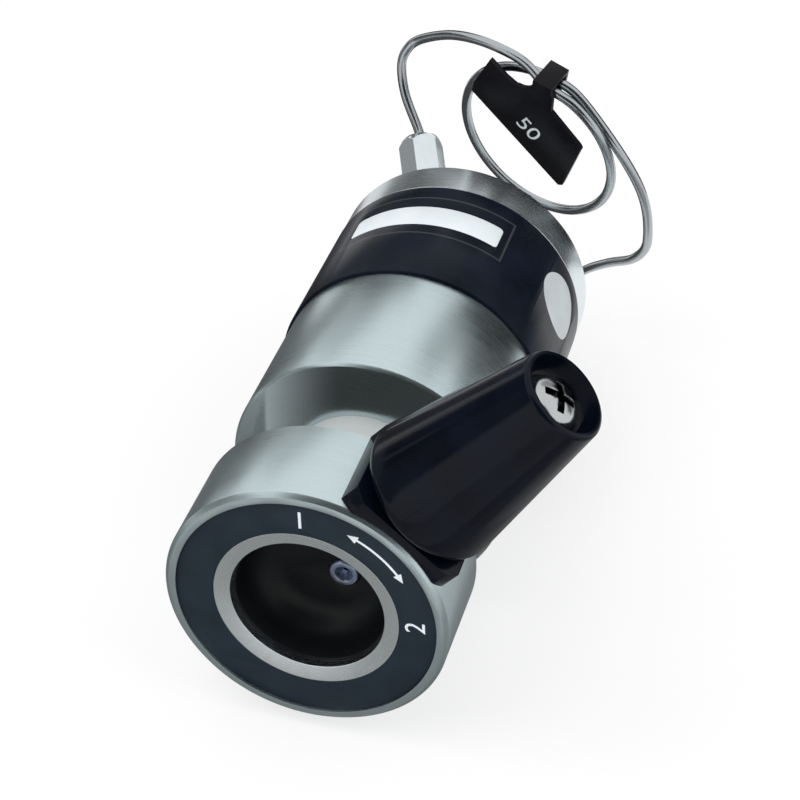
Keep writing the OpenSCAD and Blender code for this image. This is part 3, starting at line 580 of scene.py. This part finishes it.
class VALVE_OT_stage(bpy.types.Operator):
    """Sets up the camera, the floor, the lamps and the even background."""
    bl_idname = "valve.stage"
    bl_label = "Stage"

    # Standing cards: grey level, azimuth from +Y towards +X, elevation, distance, width, height
    cards = (("card_right_top", 0.38, 22, 34, 0.72, 0.2, 0.34),
             ("card_right_mid", 0.08, 37, 17, 0.70, 0.26, 0.30),
             ("card_right_low", 0.02, 43, -4, 0.68, 0.32, 0.34),
             ("card_left_top", 0.50, -34, 25, 0.72, 0.26, 0.24),
             ("card_left_low", 0.17, -42, 2, 0.70, 0.36, 0.30),
             ("card_left_side", 0.34, -87, 3, 0.70, 0.5, 0.24),
             ("card_left_high", 0.08, -87, 25, 0.72, 0.5, 0.30),
             ("card_left_front", 0.2, -118, 14, 0.70, 0.44, 0.40),
             ("card_camera", 0.04, 164, 38, 0.55, 0.75, 0.55))
    # Small cards close behind the stator: grey level, place on the axis, left, right, bottom, top
    near_cards = (("near_right", 0.004, 0.132, 0.034, 0.120, -0.012, 0.078),
                  ("near_left", 0.10, 0.132, -0.076, -0.016, 0.026, 0.080),
                  ("near_left_low", 0.85, 0.132, -0.104, -0.044, -0.032, 0.012))
    # Painted shade: the panel face reflects these strips in place of the shade in the gap between
    # hub and body, lighter at the left and darkest at the right
    # Upright strips close before the panel face: how many, place on the axis, first left edge,
    # width, right edge of the last, bottom, top
    gap_shade_strips = (15, -0.0008, -0.0154, 0.0008, 0.0208, 0.004, 0.0196)
    # The last strip's grey, what the first adds to it, and how fast that falls
    gap_shade_greys = (0.05, 0.38, 1.7)
    # Mats on the floor: grey level, centre, width and depth
    mats = (("mat_left", 0.10, -0.32, 0.27, 0.66, 0.50),
            ("mat_under", 0.20, -0.30, 0.0, 0.68, 0.06),
            ("mat_right", 0.50, 0.19, 0.01, 0.32, 0.08),
            ("mat_near", 0.26, 0.0, -0.044, 0.4, 0.028),
            ("mat_front_left", 0.46, -0.26, -0.098, 0.5, 0.08),
            ("mat_front_right", 0.60, 0.24, -0.098, 0.5, 0.08),
            ("mat_front", 0.90, 0.0, -0.32, 1.0, 0.364))

    # The camera's place in millimetres, and the direction it looks in
    camera_place = (71.34, -229.16, 198.95)
    camera_aim = (-0.2204, 0.7613, -0.6096)

    def execute(self, context):
        stage = context.scene.valve_stage
        context.scene.view_settings.view_transform = "Standard"
        self.camera(context, stage)
        self.background(context, stage)
        self.floor(stage)
        self.lamps(stage)
        self.flags()
        return {"FINISHED"}

    def camera(self, context, stage):
        data = bpy.data.cameras.new("Camera")
        data.lens = stage.lens
        data.sensor_width = 36
        data.clip_start, data.clip_end = 0.01, 50
        camera = bpy.data.objects.new("Camera", data)
        context.scene.collection.objects.link(camera)
        forward = Vector(self.camera_aim).normalized()
        right = forward.cross(Vector((0, 0, 1))).normalized()
        camera.matrix_world = facing(Vector(self.camera_place) * MM, right, right.cross(forward))
        context.scene.camera = camera

    def seen(self, nodes, links):
        """1 for rays from the camera and for reflected and transmitted ones, else 0."""
        path = nodes.new("ShaderNodeLightPath")
        total = None
        for ray in ("Is Camera Ray", "Is Glossy Ray", "Is Transmission Ray"):
            if total is None:
                total = path.outputs[ray]
                continue
            add = nodes.new("ShaderNodeMath")
            add.operation = "ADD"
            add.use_clamp = True
            links.new(total, add.inputs[0])
            links.new(path.outputs[ray], add.inputs[1])
            total = add.outputs[0]
        return total

    def background(self, context, stage):
        world = bpy.data.worlds.new("Studio")
        context.scene.world = world
        world.use_nodes = True
        nodes, links = world.node_tree.nodes, world.node_tree.links
        level = nodes.new("ShaderNodeMix")
        level.data_type = "FLOAT"
        links.new(self.seen(nodes, links), level.inputs[0])
        level.inputs[2].default_value = stage.ambient
        level.inputs[3].default_value = 1.0
        shader = nodes["Background"]
        shader.inputs["Color"].default_value = (1, 1, 1, 1)
        links.new(level.outputs[0], shader.inputs["Strength"])

    def floor(self, stage):
        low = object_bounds()[0].z
        bpy.ops.mesh.primitive_plane_add(size=8, location=(0, 0, low))
        floor = only(bpy.context.object)
        bpy.ops.object.transform_apply(location=True)
        floor.name = "studio_floor"
        material = bpy.data.materials.new("pale floor")
        material.use_nodes = True
        nodes, links = material.node_tree.nodes, material.node_tree.links
        shader = nodes["Principled BSDF"]
        shader.inputs["Base Color"].default_value = (0.9, 0.9, 0.9, 1)
        shader.inputs["Roughness"].default_value = 0.9
        shader.inputs["Specular IOR Level"].default_value = 0
        white = nodes.new("ShaderNodeEmission")
        share = nodes.new("ShaderNodeMath")
        share.operation = "MULTIPLY"
        links.new(self.seen(nodes, links), share.inputs[0])
        share.inputs[1].default_value = stage.floor_white
        mix = nodes.new("ShaderNodeMixShader")
        links.new(share.outputs[0], mix.inputs[0])
        links.new(shader.outputs[0], mix.inputs[1])
        links.new(white.outputs[0], mix.inputs[2])
        links.new(mix.outputs[0], nodes["Material Output"].inputs["Surface"])
        floor.data.materials.append(material)
        floor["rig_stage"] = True

    def lamps(self, stage):
        aim_at = Vector((0, 0.02, 0))
        for name, place, size, power in (
                ("Key", (-0.35, -0.25, 0.75), 0.7, stage.key),
                ("Fill", (0.6, -0.1, 0.5), 0.6, stage.fill)):
            data = bpy.data.lights.new(name, "AREA")
            data.shape = "SQUARE"
            data.size = size
            data.energy = power
            lamp = bpy.data.objects.new(name, data)
            bpy.context.scene.collection.objects.link(lamp)
            lamp.location = place
            aim = aim_at - Vector(place)
            lamp.rotation_euler = aim.to_track_quat("-Z", "Y").to_euler()
            lamp.visible_glossy = False
            lamp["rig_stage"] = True

    def flags(self):
        """Grey cards and mats that only reflections see, which give the metal its darker bands."""
        middle = Vector((0, 0.02, 0))
        for name, level, azimuth, elevation, away, width, height in self.cards:
            a, e = radians(azimuth), radians(elevation)
            out = Vector((sin(a) * cos(e), cos(a) * cos(e), sin(e)))
            side = Vector((cos(a), -sin(a), 0))
            self.card(name, self.grey(level), facing(out * away + middle, side, side.cross(out)),
                      width, height)
        for name, level, along, left, right, bottom, top in (*self.near_cards, *self.strips()):
            centre = ((left + right) / 2, along, (bottom + top) / 2)
            self.card(name, self.grey(level), facing(centre, (1, 0, 0), (0, 0, 1)),
                      right - left, top - bottom)
        above_floor = 0.5 * MM
        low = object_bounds()[0].z + above_floor
        for name, level, x, y, width, depth in self.mats:
            self.card(name, self.grey(level), Matrix.Translation((x, y, low)), width, depth)

    def strips(self):
        """The painted-shade strips before the panel face, each with the values of a near card."""
        count, along, start, width, end, bottom, top = self.gap_shade_strips
        darkest, added, fall = self.gap_shade_greys
        for i in range(count):
            left = start + i * width
            right = end if i == count - 1 else left + width
            level = darkest + added * (1 - i / (count - 1)) ** fall
            yield f"near_gap_{i}", level, along, left, right, bottom, top

    def grey(self, level):
        """An even grey that only reflections see."""
        material = bpy.data.materials.new(f"grey mat {level}")
        material.use_nodes = True
        nodes, links = material.node_tree.nodes, material.node_tree.links
        glow = nodes.new("ShaderNodeEmission")
        glow.inputs["Color"].default_value = (level, level, level, 1)
        links.new(glow.outputs[0], nodes["Material Output"].inputs["Surface"])
        return material

    def card(self, name, material, matrix, width, height):
        bpy.ops.mesh.primitive_plane_add(size=1, location=(0, 0, 0))
        card = only(bpy.context.object)
        card.data.transform(matrix @ Matrix.Diagonal((width, height, 1, 1)))
        card.name = name
        card.data.materials.append(material)
        card.visible_camera = card.visible_diffuse = card.visible_shadow = False
        card.visible_transmission = False
        card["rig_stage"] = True


class VALVE_OT_handle_hub(ValveOperator):
    """The turned hub with its black label, bright bezel, funnel and needle port."""
    bl_idname = "valve.handle_hub"
    bl_label = "Handle hub"

    def build(self, sizes, colours):
        edge = sizes.edge_break / MM
        turned_metal("turned steel hub", colours.steel, colours.steel_roughness).on(
            softened("handle_hub", edge))
        turned_metal("turned bright bezel", shade(colours.bright, 1.14), 0.26, depth=0.0001,
                     streak=0.02, cloud=0.02).on(softened("bezel_ring", edge, even=True))
        moulded("satin label film", colours.legend, 0.34, grain=3, depth=0.002, level=0.2).on(
            softened("handle_label", 0.05))
        moulded("glossy funnel", (0.004, 0.005, 0.006), 0.42, grain=2, depth=0.0006,
                level=0.25).on(softened("funnel_cup", edge))
        turned_metal("bluish insert", (0.36, 0.42, 0.56), 0.3).on(softened("needle_port", 0.05))


class VALVE_OT_lever(ValveOperator):
    """The black lever: saddle, tapered grip and its bright screw."""
    bl_idname = "valve.lever"
    bl_label = "Lever"

    # The screw: its axis, its head's radius and height, and the rim's share of that height
    azimuth = radians(41)
    place_y = -19.7
    head_radius, head_height = 3.8, 2.3
    rim_share = 0.35
    # The radius on the saddle's edges
    saddle_edge = 0.6

    def paint_recess_shade(self, screw, finish):
        """Paints shade into what lies below the dome of the screw's head: the walls of its cross
        recess get a near-black base colour in place of the shade that falls there.
        """
        outward = Vector((sin(self.azimuth), 0, cos(self.azimuth)))
        seat = max(v.co.dot(outward) for v in screw.data.vertices) / MM - self.head_height
        x, y, z = finish.place()
        height = x * outward.x + z * outward.z - seat
        side = x * outward.z - z * outward.x
        away = (y - self.place_y) * (y - self.place_y) + side * side
        dome = ((1 - away / self.head_radius ** 2).at_least(0).root() * (1 - self.rim_share)
                + self.rim_share)
        bright_skin, fade = 0.12, 3
        # depth is the mask of the painted shade: 0 on the head's skin, rising to 1 deep in the
        # recess
        depth = ((dome * self.head_height - height - bright_skin) * fade).within() * (height > 0)
        base = finish.shader.inputs["Base Color"].links[0].from_socket
        # Painted shade: the base colour turns near black where the mask is high
        finish.set(Base_Color=finish.blend(depth * 0.9, base, (0.01, 0.012, 0.014)))

    def build(self, sizes, colours):
        grip = moulded("glossy grip", colours.grip, 0.16, grain=1.6, depth=0.004, level=0.15,
                       sheen=(0.003, 0.005, 0.012))
        grip.on(softened("lever_grip", 0, smooth=40),
                softened("lever_collar", self.saddle_edge, segments=4))
        screw = softened("lever_screw", sizes.edge_break / MM)
        finish = drawn_metal("bright screw", (0.52, 0.54, 0.55), 0.2).on(screw)
        self.paint_recess_shade(screw, finish)


class VALVE_OT_body(ValveOperator):
    """The bright neck and the turned steel body with its flat panel face."""
    bl_idname = "valve.body"
    bl_label = "Neck and body"

    def build(self, sizes, colours):
        edge = sizes.edge_break / MM
        turned_metal("satin plated neck", (0.90, 0.98, 1.0), 0.34, streak=0.05, metallic=0.4).on(
            softened("pressure_nut", edge))
        turned_metal("turned steel body", colours.steel, colours.steel_roughness).on(
            softened("valve_body", edge))


class VALVE_OT_switch_ring(ValveOperator):
    """The black switch ring with its printed frame, its two pale labels and the grommet."""
    bl_idname = "valve.switch_ring"
    bl_label = "Switch ring"

    # The printed frame: azimuths of its ends, its span from the body's rear, the line's width,
    # and the depth below the ring's skin where print ends
    frame_azimuths = (radians(-45), radians(31))
    frame_span = (10.8, 20.8)
    line = 0.36
    print_depth = 0.25

    def build(self, sizes, colours):
        edge = sizes.moulded_edge / MM
        ring = moulded("black switch ring", colours.ring, 0.30, grain=4, depth=0.0008, level=0.08,
                       sheen=(0.007, 0.011, 0.022))
        x, y, z = ring.place()
        radius = RING_RADIUS / MM
        a0, a1 = self.frame_azimuths
        along = (x.angle_from(z) - (a0 + a1) / 2) * radius
        y0, y1 = (BODY_REAR / MM + span for span in self.frame_span)
        out = (abs(along) - (a1 - a0) / 2 * radius).at_least(
            abs(y - (y0 + y1) / 2) - (y1 - y0) / 2)
        on_skin = (x * x + z * z).root() > radius - self.print_depth
        line = (abs(out) < self.line / 2) * on_skin
        base = ring.shader.inputs["Base Color"].links[0].from_socket
        ring.set(Base_Color=ring.blend(line * 0.8, base, (0.045, 0.05, 0.055)))
        ring.on(softened("switch_ring", edge))
        moulded("pale label film", colours.print_white, 0.38, grain=3, depth=0.002, level=0.4,
                sheen=shade(colours.print_white, 1.05)).on(
            softened("side_label", 0.03, corner=0.7))
        moulded("grey label film", shade(colours.print_white, 0.66), 0.4, grain=1.2, depth=0.002,
                level=0.3, sheen=shade(colours.print_white, 0.78)).on(
            softened("round_label", 0.03))
        moulded("soft rubber", (0.02, 0.02, 0.02), 0.62, grain=5, depth=0.01, level=0.3).on(
            softened("cable_grommet", edge))


class VALVE_OT_stator(ValveOperator):
    """The turned stator with its long screws."""
    bl_idname = "valve.stator"
    bl_label = "Stator"

    def build(self, sizes, colours):
        edge = sizes.edge_break / MM
        turned_metal("turned steel stator", colours.bright, 0.25, depth=0.0003, streak=0.03).on(
            softened("stator", 0))
        moulded("black oxide screws", (0.045, 0.045, 0.05), 0.42, grain=7, depth=0.004,
                level=0.6).on(softened("stator_screws", edge))


class VALVE_OT_fittings(ValveOperator):
    """The port nuts, and the thread ridges in the open ports and the panel holes."""
    bl_idname = "valve.fittings"
    bl_label = "Fittings and threads"

    def build(self, sizes, colours):
        drawn_metal("bright nuts", colours.bright, 0.2).on(
            softened("port_nuts", sizes.edge_break / MM, even=True))
        thread = drawn_metal("cut thread", colours.steel, 0.3)
        pitch = sizes.port_pitch / MM
        plain, sunk, foot_in_wall = 1.2, 0.4, 0.02
        turns = int((PORT_DEPTH - plain) / pitch)
        ridge = helix_ridge(PORT_BORE_R + foot_in_wall, 0.3, pitch, turns, "port_thread_1",
                            "valve", "steel")
        start = -sunk - pitch / 2
        opened = [a for a in PORT_AZIMUTHS if a not in LOOP_PORTS]
        self.spread(ridge, thread, "port_thread_{}", [port_matrix(a, start) for a in opened])
        pitch = sizes.panel_pitch / MM
        sunk = 0.5
        panel = helix_ridge(PANEL_THREAD_R, 0.28, pitch, 9, "panel_thread_1", "valve", "steel")
        start = sunk + pitch / 2
        self.spread(panel, thread, "panel_thread_{}", [
            facing(Vector((x, start, 0)) * MM, (1, 0, 0), (0, 0, 1))
            for x in (-PANEL_SPACING / 2, PANEL_SPACING / 2)])

    def spread(self, ridge, thread, name, matrices):
        """Puts a thread's ridge in the first of its holes and a twin in each of the others."""
        thread.on(ridge)
        for count, matrix in enumerate(matrices[1:], 2):
            twin(ridge, name.format(count), matrix)
        ridge.data.transform(matrices[0])


class VALVE_OT_loop(ValveOperator):
    """The sample loop, one smooth bent tube, and its black tag."""
    bl_idname = "valve.loop"
    bl_label = "Sample loop"

    # The two leads between ports and coil, in millimetres, and how far the tube goes in below
    # the threads of its ports
    lead_up = ((-14.4, 70.2, 22.6), (-15.5, 71.8, 27.2), (-14.6, 72.6, 30), (-12.4, 72.8, 31.8),
               (-7.4, 71, 34.2), (-2.5, 69, 35.2), (2.3, 67.4, 34.9), (6.4, 66.2, 33.7))
    lead_down = ((21.6, 63.7, 23.2), (25.7, 63.9, 16.8), (27.5, 64.5, 11.6), (28, 65.6, 6),
                 (27.5, 66.8, 2.2), (25.3, 68.4, -1.2), (21.2, 70.6, -4.1), (17, 73, -7.8),
                 (14.2, 75.2, -12), (13.2, 75.2, -16.8), (12.8, 72.6, -19.6))
    below_thread = 3.1

    def route(self):
        """The tube's centreline: out of one port, once round the coil, into the opposite port."""
        first, last = LOOP_PORTS
        inner = -PORT_DEPTH - self.below_thread

        def on_axis(azimuth, out):
            r = PORT_MOUTH_R + out * sin(PORT_TILT)
            return Vector((r * sin(azimuth), PORT_MOUTH_Y + out * cos(PORT_TILT),
                           r * cos(azimuth)))

        def turn(t):
            a = radians(CLIP_ANGLE - t)
            return in_coil(COIL_RADIUS * cos(a), COIL_RADIUS * sin(a),
                           STRAND_GAP * (t / 360 - 0.5))

        # The coil runs on past its full turn, to where the second lead leaves it
        return ([on_axis(first, s) for s in (inner, -4, 4, 8.4, 10.6)]
                + [Vector(p) for p in self.lead_up]
                + [turn(t) for t in range(0, 381, 20)]
                + [Vector(p) for p in self.lead_down]
                + [on_axis(last, s) for s in (12.4, 10.6, 8.4, 4, -4, inner)])

    def smooth(self, points, steps=6):
        """Points on the smooth curve through the route."""
        line = []
        for i in range(len(points) - 1):
            a, b = points[max(i - 1, 0)], points[i]
            c, d = points[i + 1], points[min(i + 2, len(points) - 1)]
            for k in range(steps):
                t = k / steps
                line.append(0.5 * (2 * b + (c - a) * t + (2 * a - 5 * b + 4 * c - d) * t * t
                                   + (3 * b - a - 3 * c + d) * t ** 3))
        return line + [points[-1]]

    def build(self, sizes, colours):
        line = self.smooth(self.route())
        curve = bpy.data.curves.new("loop_tube_round", "CURVE")
        curve.dimensions = "3D"
        spline = curve.splines.new("POLY")
        spline.points.add(len(line) - 1)
        for point, place in zip(spline.points, line):
            point.co = (*(place * MM), 1)
        curve.bevel_depth = sizes.tube_diameter / 2
        curve.bevel_resolution = 4
        curve.use_fill_caps = True
        curve.twist_mode = "MINIMUM"
        tube = bpy.data.objects.new("loop_tube_round", curve)
        bpy.context.collection.objects.link(tube)
        tube = settle(tube, "loop_tube_round", "valve", SLOT_OF["loop_tube"])
        bpy.ops.object.shade_smooth_by_angle(angle=radians(40))
        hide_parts("loop_tube")
        drawn_metal("bright capillary", shade(colours.bright, 0.6), 0.2, grain=2).on(tube)
        moulded("black tag", (0.004, 0.004, 0.006), 0.34, grain=4, depth=0.006, level=0.15).on(
            softened("loop_tag", 0.12))


class VALVE_OT_marks(ValveOperator):
    """The printed numbers and arrow on the front label, and the number on the loop's tag."""
    bl_idname = "valve.marks"
    bl_label = "Printed marks"

    # The radius that the numbers stand on and their azimuths, the arrow's radius and azimuths,
    # the angle that each of its heads takes, and a head's width as a share of the line's
    ring = 15.5
    number_azimuths = (radians(-1.2), radians(87.7))
    arrow_radius = 15.9
    arrow_span = (radians(22.7), radians(59.1))
    head_angle = radians(5.2)
    head_share = 3.8
    # The direction that the tag's number reads in, across and up the coil
    tag_across = (0.72, -0.695)

    def number(self, words, azimuth, up_is_out, sizes, name):
        out = Vector((sin(azimuth), 0, cos(azimuth)))
        up = out if up_is_out else -out
        across = up.cross(Vector((0, -1, 0)))
        return printed_text(words, sizes.digit_height / MM,
                            facing(on_front(azimuth, self.ring, PRINT_LIFT), across, up), name,
                            "handle", "label_white")

    def arrow(self, sizes):
        """An arc with a head at each end, flat on the label."""
        a0, a1 = self.arrow_span
        head, share = self.head_angle, self.head_share
        half = sizes.arrow_width / 2
        first_width = 0.02 * MM
        r = self.arrow_radius * MM
        bpy.ops.mesh.primitive_plane_add(size=1, location=(0, 0, 0))
        arc = only(bpy.context.object)
        arc.data.transform(Matrix.Translation((0, r, 0)) @ Matrix.Diagonal(
            (first_width, 2 * half, 1, 1)))
        bpy.ops.object.mode_set(mode="EDIT")
        turn = (a1 - a0) / 2 - head
        for way in (1, -1):
            pick("EDGE", lambda co: co.x * way > 0)
            bpy.ops.mesh.spin(steps=14, angle=turn, center=(0, 0, 0), axis=(0, 0, way))
            end = Vector((sin(turn) * way, cos(turn), 0)) * r
            pick("EDGE", lambda co: (co - end).length < half * 1.2)
            bpy.ops.mesh.extrude_region_move(TRANSFORM_OT_translate={"value": (0, 0, 0)})
            bpy.ops.transform.resize(value=(share, share, 1), center_override=end)
            bpy.ops.mesh.extrude_region_move(TRANSFORM_OT_translate={"value": (0, 0, 0)})
            tip = Vector((sin(turn + head) * way, cos(turn + head), 0)) * r
            bpy.ops.transform.translate(value=tip - end)
            bpy.ops.mesh.merge(type="CENTER")
        bpy.ops.mesh.select_all(action="SELECT")
        bpy.ops.mesh.remove_doubles(threshold=WELD_NEW)
        bpy.ops.mesh.normals_make_consistent(inside=False)
        bpy.ops.object.mode_set(mode="OBJECT")
        middle = (a0 + a1) / 2
        out = Vector((sin(middle), 0, cos(middle)))
        arc.data.transform(facing((0, LABEL_FRONT - PRINT_LIFT * MM, 0),
                                  out.cross(Vector((0, -1, 0))), out))
        modify(arc, "SOLIDIFY", thickness=0.03 * MM, offset=0)
        return settle(arc, "turn_arrow", "handle", "label_white")

    def build(self, sizes, colours):
        ink = moulded("pale print", shade(colours.print_white, 0.85), 0.45, grain=3, depth=0.002,
                      level=0.3)
        first, second = self.number_azimuths
        ink.on(self.number("1", first, True, sizes, "position_number_1"),
               self.number("2", second, False, sizes, "position_number_2"),
               self.arrow(sizes))
        u, v = self.tag_across
        across = COIL_ACROSS * u + COIL_UP * v
        up = COIL_UP * u - COIL_ACROSS * v
        place = in_coil(0.5, 5.0, TAG_FRONT - PRINT_LIFT) * MM
        ink.on(printed_text("50", sizes.tag_digit_height / MM, facing(place, across, up),
                            "tag_number", "valve", "label_white"))


class VALVE_OT_inner_parts(ValveOperator):
    """Finishes for the parts inside, which show only when the valve is taken apart."""
    bl_idname = "valve.inner_parts"
    bl_label = "Inner parts"

    def build(self, sizes, colours):
        kinds = {
            "hard_steel": turned_metal("ground hard steel", (0.62, 0.63, 0.65), 0.24),
            "steel": turned_metal("plain turned steel", colours.steel, 0.3),
            "bright_steel": drawn_metal("plain bright steel", colours.bright, 0.2),
            "screw_steel": drawn_metal("polished balls", (0.72, 0.73, 0.74), 0.1),
            "dark_steel": moulded("black oxide", (0.05, 0.05, 0.055), 0.42, grain=7,
                                  depth=0.004, level=0.6),
            "bronze": turned_metal("turned bronze", (0.60, 0.42, 0.18), 0.32),
            "seal_polymer": moulded("amber polymer", (0.62, 0.48, 0.22), 0.4, depth=0.004),
            "ceramic": moulded("ground ceramic", (0.88, 0.88, 0.85), 0.22, grain=9,
                               depth=0.001, level=0.5, sheen=(0.9, 0.9, 0.87)),
            "magnet": drawn_metal("plated magnet", (0.45, 0.46, 0.48), 0.26),
            "board": moulded("green board", (0.03, 0.16, 0.08), 0.35, depth=0.004),
            "capsule": Finish("glass capsule", (0.75, 0.85, 0.80), 0.05,
                              Transmission_Weight=0.85, IOR=1.48),
            "rubber": moulded("plain rubber", (0.02, 0.02, 0.02), 0.6, depth=0.01),
            "ring_plastic": moulded("plain black plastic", colours.ring, 0.35),
            "grip_plastic": moulded("plain grip plastic", colours.grip, 0.2),
            "funnel_plastic": moulded("plain funnel plastic", (0.012, 0.012, 0.014), 0.2),
            "label_black": moulded("plain black film", colours.legend, 0.35),
            "label_white": moulded("plain pale film", colours.print_white, 0.4),
            "port_metal": drawn_metal("plain insert", (0.36, 0.42, 0.56), 0.3),
        }
        for name, part in NODES.items():
            kinds[SLOT_OF[name]].on(part)


GROUPS = (VALVE_OT_inner_parts, VALVE_OT_handle_hub, VALVE_OT_lever, VALVE_OT_body,
          VALVE_OT_switch_ring, VALVE_OT_stator, VALVE_OT_fittings, VALVE_OT_loop,
          VALVE_OT_marks)


class VALVE_PT_sidebar(bpy.types.Panel):
    """Lists the valve's settings and its steps."""
    bl_label = "Valve"
    bl_idname = "VALVE_PT_sidebar"
    bl_space_type = "VIEW_3D"
    bl_region_type = "UI"
    bl_category = "Valve"

    def draw(self, context):
        layout = self.layout
        for settings in (context.scene.valve_sizes, context.scene.valve_colours,
                         context.scene.valve_stage):
            box = layout.box()
            for key in settings.bl_rna.properties.keys():
                if key not in ("rna_type", "name"):
                    box.prop(settings, key)
        for group in (VALVE_OT_stage, *GROUPS):
            layout.operator(group.bl_idname)


CLASSES = (ValveSizes, ValveColours, ValveStage, VALVE_OT_stage, *GROUPS, VALVE_PT_sidebar)


def register():
    for each in CLASSES:
        bpy.utils.register_class(each)
    bpy.types.Scene.valve_sizes = PointerProperty(type=ValveSizes)
    bpy.types.Scene.valve_colours = PointerProperty(type=ValveColours)
    bpy.types.Scene.valve_stage = PointerProperty(type=ValveStage)


def unregister():
    del bpy.types.Scene.valve_stage
    del bpy.types.Scene.valve_colours
    del bpy.types.Scene.valve_sizes
    for each in reversed(CLASSES):
        bpy.utils.unregister_class(each)


def main():
    """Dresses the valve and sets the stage."""
    register()
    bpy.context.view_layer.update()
    bpy.ops.valve.inner_parts()
    bpy.ops.valve.handle_hub()
    bpy.ops.valve.lever()
    bpy.ops.valve.body()
    bpy.ops.valve.switch_ring()
    bpy.ops.valve.stator()
    bpy.ops.valve.fittings()
    bpy.ops.valve.loop()
    bpy.ops.valve.marks()
    bpy.ops.valve.stage()


if __name__ == "__main__":
    main()
